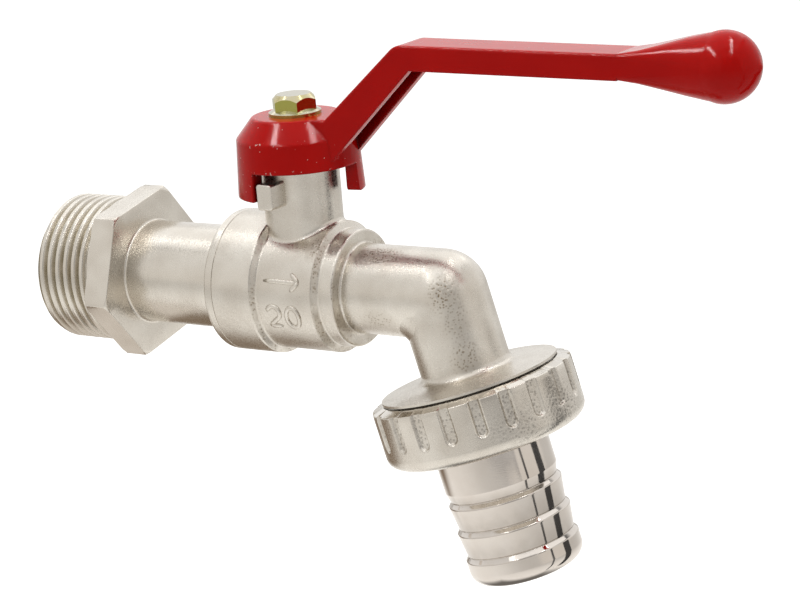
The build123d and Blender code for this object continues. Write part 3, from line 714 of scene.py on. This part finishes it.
def rounded_outline(corners):
    """Points (station, radius) along corners (station, radius, rounding); the ends stay sharp."""
    path = []
    for k, (station, radius, bend) in enumerate(corners):
        here = np.array((station, radius), float)
        if bend == 0:
            path.append(tuple(here))
            continue
        before = np.array(corners[k - 1][:2]) - here
        after = np.array(corners[k + 1][:2]) - here
        before /= np.linalg.norm(before)
        after /= np.linalg.norm(after)
        half = acos(np.clip(before @ after, -1, 1)) / 2
        reach = bend / tan(half)
        inward = (before + after) / np.linalg.norm(before + after)
        middle = here + inward * bend / sin(half)
        first, last = here + before * reach - middle, here + after * reach - middle
        start = atan2(first[1], first[0])
        sweep = (atan2(last[1], last[0]) - start + pi) % tau - pi
        path.append(tuple(here + before * (reach + SUPPORT)))
        for step in range(ROUND_STEPS + 1):
            angle = start + sweep * step / ROUND_STEPS
            path.append((middle[0] + bend * cos(angle), middle[1] + bend * sin(angle)))
        path.append(tuple(here + after * (reach + SUPPORT)))
    return path


def ring_skin(name, rows, angles, place, body, node, material, values=None):
    """A closed skin through rings (station, radius), which stands for a node of the frame."""
    columns = len(angles)
    points = np.empty((len(rows), columns, 3))
    for ring, (station, radius) in zip(points, rows):
        ring[:, 0] = radius * np.cos(angles)
        ring[:, 1] = radius * np.sin(angles)
        ring[:, 2] = station
    index = np.arange(len(rows) * columns).reshape(len(rows), columns)
    next_row, next_column = np.roll(index, -1, 0), np.roll(index, -1, 1)
    corner = np.roll(next_row, -1, 1)
    faces = np.stack((index, next_column, corner, next_row), -1).reshape(-1, 4)
    mesh = bpy.data.meshes.new(name)
    mesh.from_pydata(points.reshape(-1, 3), [], faces.tolist())
    mesh.transform(place)
    skin = bmesh.new()
    skin.from_mesh(mesh)
    bmesh.ops.recalc_face_normals(skin, faces=skin.faces)
    skin.to_mesh(mesh)
    skin.free()
    mesh.shade_smooth()
    mesh.set_sharp_from_angle(angle=SHARP_ANGLE)
    for value_name, numbers in (values or {}).items():
        mesh.attributes.new(value_name, "FLOAT", "POINT").data.foreach_set("value", numbers.ravel())
    mesh.materials.append(material)
    piece = bpy.data.objects.new(name, mesh)
    bpy.context.scene.collection.objects.link(piece)
    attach(piece, body)
    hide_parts(node)
    print(name, "has", len(rows), "rings of", columns, "points")
    return piece


# %% [markdown]
# The inlet connector: a pipe thread, a hexagon, a neck and a collar that meets the body. The
# thread is a true right-hand helix. It could be swept along a coil, but then its start and its
# run-out are hard to close; as a height on the ring skin it is one formula. The rings are close
# enough together for about twenty to each turn of the thread.

# %% Thread and hexagon
THREAD_R = 13.22
THREAD_PITCH = 1.814
THREAD_DEPTH = 0.9
THREAD_LEAD = 0.7
THREAD_RUN_OUT = 1.5
THREAD_FLAT = 1.4
THREAD_CREST = 0.25
RING_STEP = 0.085
HEX_FLATS = 27.0
HEX_TURN = radians(10.0)
HEX_THICKNESS = 5.0
HEX_BEVEL = 0.8
HEX_BEVEL_RISE = 0.45
HEX_EDGE = 0.16
HEX_CORNER_ROUND = 0.35
inlet_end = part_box("inlet_connector")[0].x / MM

sector = tau / 6
corner_turn = atan2(HEX_CORNER_ROUND / 2, HEX_FLATS / sqrt(3))
between = np.linspace(corner_turn, sector - corner_turn, 40)
one_side = np.concatenate(((0, corner_turn / 2), between, (sector - corner_turn / 2,)))
connector_angles = HEX_TURN + np.concatenate([one_side + k * sector for k in range(6)])


def hexagon(angles):
    """Radius of the hexagon, with its corners slightly rounded."""
    off = np.abs((angles - HEX_TURN + sector / 2) % sector - sector / 2)
    flat = HEX_FLATS / 2 / np.cos(sector / 2 - off)
    centre = (HEX_FLATS / 2 - HEX_CORNER_ROUND) / cos(sector / 2)
    inside = np.maximum(HEX_CORNER_ROUND**2 - (centre * np.sin(off)) ** 2, 0)
    arc = centre * np.cos(off) + np.sqrt(inside)
    return np.where(off < corner_turn, np.minimum(arc, flat), flat)


def thread_radius(station, angles):
    """Radius of the thread at a station: rounded flanks, a lead at the end and a run-out."""
    phase = (station / THREAD_PITCH - angles / tau) % 1.0
    rise = THREAD_CREST + 1 - 4 * np.abs(phase - 0.5)
    wave = np.sin(pi / 2 * np.clip(THREAD_FLAT * rise, -1, 1))
    fade = np.clip(-station / THREAD_RUN_OUT, 0, 1)
    cut = THREAD_R - fade * THREAD_DEPTH * (1 - wave) / 2
    return np.minimum(cut, THREAD_R - THREAD_LEAD + station - inlet_end)


hex_ring = hexagon(connector_angles)
hex_corner = HEX_FLATS / sqrt(3)


def hex_row(station, inset=0.0):
    """A ring of the hexagon, cut back near its two faces by the bevel and the edge rounding."""
    from_face = min(station, HEX_THICKNESS - station)
    limit = hex_corner - HEX_BEVEL * (1 - min(from_face / HEX_BEVEL_RISE, 1))
    return station, np.minimum(hex_ring, limit) - inset


thread_stations = np.arange(inlet_end, -RING_STEP / 2, RING_STEP)
connector_rows = [(s, thread_radius(s, connector_angles)) for s in thread_stations]
connector_rows.append((0.0, THREAD_R))
edge_angles = np.linspace(0, pi / 2, 4)
rising = [(HEX_EDGE * (1 - cos(a)), HEX_EDGE * (1 - sin(a))) for a in edge_angles]
for inset_x, inset_r in rising:
    connector_rows.append(hex_row(inset_x, inset_r))
for share in (0.5, 0.75, 1.0):
    connector_rows.append(hex_row(HEX_BEVEL_RISE * share))
for share in (1.0, 0.75, 0.5):
    connector_rows.append(hex_row(HEX_THICKNESS - HEX_BEVEL_RISE * share))
for inset_x, inset_r in reversed(rising):
    connector_rows.append(hex_row(HEX_THICKNESS - inset_x, inset_r))
print("thread of", len(thread_stations), "rings, hexagon", HEX_FLATS, "mm across its flats")

# %% Neck, collar and waterway of the connector
NECK_R = 9.18
COLLAR_X = 24.6
COLLAR_R = 12.48
BODY_X = 26.4
JOINT_R = 10.1
POCKET_X = 31.16
POCKET_R = 8.63
WATERWAY_R = 5.5
MOUTH_R = 9.6
MOUTH_DEPTH = 9.0
MOUTH_CONE = 4.0
joint_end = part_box("inlet_connector")[1].x / MM
cone_x = inlet_end + MOUTH_DEPTH

connector_rows += rounded_outline((
    (HEX_THICKNESS, NECK_R + 1.6, 0),
    (HEX_THICKNESS, NECK_R, 0.45),
    (COLLAR_X, NECK_R, 0.6),
    (COLLAR_X, COLLAR_R, 0.7),
    (BODY_X, COLLAR_R, 0.08),
    (BODY_X, JOINT_R, 0),
    (joint_end, JOINT_R, 0),
    (joint_end, POCKET_R, 0),
    (POCKET_X, POCKET_R, 0),
    (POCKET_X, WATERWAY_R, 0),
    (cone_x + MOUTH_CONE, WATERWAY_R, 0.5),
    (cone_x, MOUTH_R, 0.5),
    (inlet_end, MOUTH_R, 0.3),
    (inlet_end, THREAD_R - THREAD_DEPTH - 0.3, 0),
))
thread_grooves = np.zeros((len(connector_rows), len(connector_angles)))
for depth, (station, radius) in zip(thread_grooves, connector_rows[:len(thread_stations)]):
    depth[:] = np.clip((THREAD_R - radius) / THREAD_DEPTH, 0, 1)
connector = ring_skin(
    "threaded_connector", connector_rows, connector_angles, pipe_frame, "valve_body",
    "inlet_connector", connector_nickel, {"groove": thread_grooves},
)

# %% [markdown]
# The union nut: a cast ring with finger flutes. Each flute is a soft-edged slot with a round
# foot, open at the top edge. Its depth follows from the distance to the line down its middle,
# so one formula gives the straight sides, the round foot and the soft edge.

# %% Union nut
NUT_R = 17.47
NUT_TOP = 15.7
NUT_FOOT = 25.7
NUT_FOOT_ROUND = 2.2
NUT_MOUTH_DEPTH = 0.25
RIM_R = 15.2
RIM_RISE = 0.68
NUT_BORE_R = 13.28
NUT_LIP_R = 10.1
NUT_LIP_S = 23.9
FLUTE_COUNT = 21
FLUTE_TURN = radians(7.2)
FLUTE_HALF_WIDTH = 1.15
FLUTE_FOOT = 22.0
FLUTE_DEPTH = 0.55
FLUTE_SOFT = 0.5
NUT_COLUMNS = 36 * FLUTE_COUNT
NUT_STEP = 0.14

nut_angles = FLUTE_TURN + np.arange(NUT_COLUMNS) * tau / NUT_COLUMNS
flute_pitch = tau / FLUTE_COUNT
beside = NUT_R * np.sin((nut_angles - FLUTE_TURN + flute_pitch / 2) % flute_pitch - flute_pitch / 2)


def flute_depth(station):
    """Depth of the flutes round the nut at a station along the spout."""
    past = max(station - (FLUTE_FOOT - FLUTE_HALF_WIDTH), 0)
    inside = np.clip((FLUTE_HALF_WIDTH - np.hypot(beside, past)) / FLUTE_SOFT, 0, 1)
    return FLUTE_DEPTH * inside * inside * (3 - 2 * inside)


nut_rim = rounded_outline((
    (NUT_TOP + NUT_MOUTH_DEPTH, NUT_BORE_R, 0),
    (NUT_TOP + NUT_MOUTH_DEPTH, RIM_R, 0),
    (NUT_TOP - RIM_RISE, RIM_R, 0.08),
    (NUT_TOP - RIM_RISE, RIM_R + 0.25, 0.06),
    (NUT_TOP, NUT_R - 0.05, 0.2),
    (NUT_TOP + RIM_RISE, NUT_R, 0),
))
nut_wall = [(s, NUT_R) for s in np.arange(nut_rim[-1][0] + NUT_STEP, NUT_FOOT - NUT_FOOT_ROUND, NUT_STEP)]
nut_foot = rounded_outline((
    (NUT_FOOT - NUT_FOOT_ROUND, NUT_R, 0),
    (NUT_FOOT, NUT_R, NUT_FOOT_ROUND - 2 * SUPPORT),
    (NUT_FOOT, NUT_LIP_R, 0.2),
    (NUT_LIP_S, NUT_LIP_R, 0),
    (NUT_LIP_S, NUT_BORE_R, 0),
))
nut_outline = nut_rim + nut_wall + nut_foot
nut_rows = []
nut_flutes = np.zeros((len(nut_outline), NUT_COLUMNS))
nut_turned = np.zeros((len(nut_outline), NUT_COLUMNS))
for row, (station, radius) in enumerate(nut_outline):
    on_rim = station < NUT_TOP - 0.04
    if on_rim:
        nut_turned[row] = 1
    if radius > RIM_R:
        nut_flutes[row] = 0 if on_rim else flute_depth(station) / FLUTE_DEPTH
        radius = np.minimum(radius, NUT_R - flute_depth(station))
    nut_rows.append((station, radius))
nut = ring_skin(
    "fluted_nut", nut_rows, nut_angles, spout_frame, "union_nut_group", "union_nut",
    nut_nickel, {"flute": nut_flutes, "turned": nut_turned},
)

# %% [markdown]
# The hose tail: a flange that the nut holds, a smooth neck, three barbs that grip the hose, and
# a rounded end. All its edges are softly rounded by the polishing.

# %% Hose tail
TAIL_COLUMNS = 240
TAIL_FLANGE_S = 21.93
TAIL_FLANGE_R = 12.58
TAIL_NECK_R = 9.85
TAIL_WAIST_S = 32.4
TAIL_WAIST_R = 9.45
BARB_S = 34.2
BARB_COUNT = 3
BARB_PITCH = 4.9
BARB_RISE = 0.75
BARB_R = 9.98
BARB_GROOVE = 0.25
TAIL_BORE_R = 7.3
TAIL_END = 49.35
TAIL_END_ROUND = 2.6

tail_corners = [
    (TAIL_FLANGE_S, TAIL_BORE_R, 0),
    (TAIL_FLANGE_S, TAIL_FLANGE_R, 0.2),
    (NUT_LIP_S, TAIL_FLANGE_R, 0.2),
    (NUT_LIP_S, TAIL_NECK_R, 0.3),
    (TAIL_WAIST_S, TAIL_NECK_R, 0.4),
]
barb_feet = [BARB_S + barb * BARB_PITCH for barb in range(BARB_COUNT)]
for foot in barb_feet:
    tail_corners += [
        (foot - BARB_GROOVE, TAIL_WAIST_R, 0.08),
        (foot, TAIL_WAIST_R - BARB_GROOVE / 2, 0.12),
        (foot + BARB_RISE, BARB_R, 0.4),
    ]
tail_corners += [
    (TAIL_END, BARB_R, TAIL_END_ROUND - SUPPORT),
    (TAIL_END, TAIL_BORE_R, 0),
]
tail_angles = np.arange(TAIL_COLUMNS) * tau / TAIL_COLUMNS
tail_rows = rounded_outline(tail_corners)
# how near each ring lies to a barb's foot, where painted shade and reflection darken the tone
tail_grooves = np.zeros((len(tail_rows), TAIL_COLUMNS))
for depth, (station, radius) in zip(tail_grooves, tail_rows):
    rise = min((abs(station - foot) for foot in barb_feet), default=1)
    depth[:] = np.clip(1.3 - rise / BARB_RISE, 0, 1) * (radius > TAIL_BORE_R + 1)
tail = ring_skin(
    "barbed_tail", tail_rows, tail_angles, spout_frame, "hose_tail_group",
    "hose_tail", mirror_nickel, {"groove": tail_grooves},
)

# %% [markdown]
# Raised marks stand on the band of the forging where such valves carry their size: here a plain
# flow arrow over a plain number. They are ribs cast with the body, so each is a soft tube half
# sunk in the band, drawn on the unrolled band and then bent round it.

# %% Marks on the band
BAND_R = 11.4
RIB_HALF_WIDTH = 0.42
RIB_HEIGHT = 0.32
RIB_SIDES = 10
WELD = 1e-7


def arc_points(middle, radii, start, end, count=14):
    """Points on an ellipse, the angles in degrees."""
    turns = np.radians(np.linspace(start, end, count))
    return [(middle[0] + radii[0] * cos(t), middle[1] + radii[1] * sin(t)) for t in turns]


def straight_points(start, end, count=6):
    """Points on a straight stroke."""
    shares = np.linspace(0, 1, count)
    return [tuple(np.array(start) + s * (np.array(end) - np.array(start))) for s in shares]


def band_point(along, up, out):
    """A point of the band from its unrolled place: along the pipe, up round it, out from it."""
    turn = up / BAND_R
    return Vector((along, -(BAND_R + out) * cos(turn), (BAND_R + out) * sin(turn))) * MM


def raised_mark(name, strokes):
    """One piece with a soft rib along each stroke."""
    form = bmesh.new()
    for stroke in strokes:
        line = np.array(stroke)
        loop = np.allclose(line[0], line[-1])
        steps = np.gradient(line, axis=0)
        if loop:
            steps[0] = steps[-1] = line[1] - line[-2]
        steps /= np.linalg.norm(steps, axis=1)[:, None]
        rings = []
        for k, (point, step) in enumerate(zip(line, steps)):
            end = k in (0, len(line) - 1)
            narrow = 0.55 if end and not loop else 1.0
            ring = []
            for side in range(RIB_SIDES):
                turn = tau * side / RIB_SIDES
                across = RIB_HALF_WIDTH * narrow * cos(turn)
                out = RIB_HEIGHT * narrow * sin(turn)
                place = band_point(point[0] - step[1] * across, point[1] + step[0] * across, out)
                ring.append(form.verts.new(place))
            rings.append(ring)
        for near, far in zip(rings, rings[1:]):
            for side in range(RIB_SIDES):
                other = (side + 1) % RIB_SIDES
                form.faces.new((near[side], near[other], far[other], far[side]))
        if not loop:
            form.faces.new(rings[0])
            form.faces.new(rings[-1])
    bmesh.ops.remove_doubles(form, verts=form.verts, dist=WELD)
    bmesh.ops.recalc_face_normals(form, faces=form.faces)
    mesh = bpy.data.meshes.new(name)
    form.to_mesh(mesh)
    form.free()
    mesh.shade_smooth()
    mesh.materials.append(forged_nickel)
    piece = bpy.data.objects.new(name, mesh)
    bpy.context.scene.collection.objects.link(piece)
    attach(piece, "valve_body")
    print(name, "has", len(strokes), "strokes")
    return piece


ARROW_START, ARROW_END, ARROW_UP, ARROW_HEAD = 36.6, 43.6, 3.4, 1.5
raised_mark("flow_arrow", (
    straight_points((ARROW_START, ARROW_UP), (ARROW_END, ARROW_UP)),
    straight_points((ARROW_END - ARROW_HEAD, ARROW_UP + ARROW_HEAD), (ARROW_END, ARROW_UP)),
    straight_points((ARROW_END - ARROW_HEAD, ARROW_UP - ARROW_HEAD), (ARROW_END, ARROW_UP)),
))
FIGURE_HALF_WIDTH, FIGURE_HALF_HEIGHT = 1.25, 1.9
TWO_X, NOUGHT_X, FIGURE_UP = 38.2, 42.0, -2.9
two_foot = FIGURE_UP - FIGURE_HALF_HEIGHT
bow = FIGURE_HALF_HEIGHT - FIGURE_HALF_WIDTH
two_bow = arc_points((TWO_X, FIGURE_UP + bow), (FIGURE_HALF_WIDTH,) * 2, 165, -35)
raised_mark("size_mark", (
    two_bow + straight_points(two_bow[-1], (TWO_X - FIGURE_HALF_WIDTH, two_foot))[1:],
    straight_points((TWO_X - FIGURE_HALF_WIDTH, two_foot), (TWO_X + FIGURE_HALF_WIDTH, two_foot)),
    arc_points((NOUGHT_X, FIGURE_UP), (FIGURE_HALF_WIDTH, FIGURE_HALF_HEIGHT), 0, 360, 31),
))

# %% [markdown]
# The other nodes keep the frame's own meshes and only get their finishes.

# %% Finishes on the frame's nodes
finishes = {
    "body": forged_nickel,
    "lever": lever_paint,
    "lever_bolt": yellow_zinc,
    "ball": mirror_nickel,
    "stem": plain_brass,
    "gland_nut": plain_brass,
    "inlet_seat": white_ptfe,
    "outlet_seat": white_ptfe,
    "thrust_washer": white_ptfe,
    "lower_packing": white_ptfe,
    "upper_packing": white_ptfe,
    "stem_o_ring": black_rubber,
    "hose_gasket": black_rubber,
}
for node_name, finish in finishes.items():
    mesh = nodes[node_name].data
    mesh.materials.clear()
    mesh.materials.append(finish)
print("finished", len(finishes), "nodes of the frame")
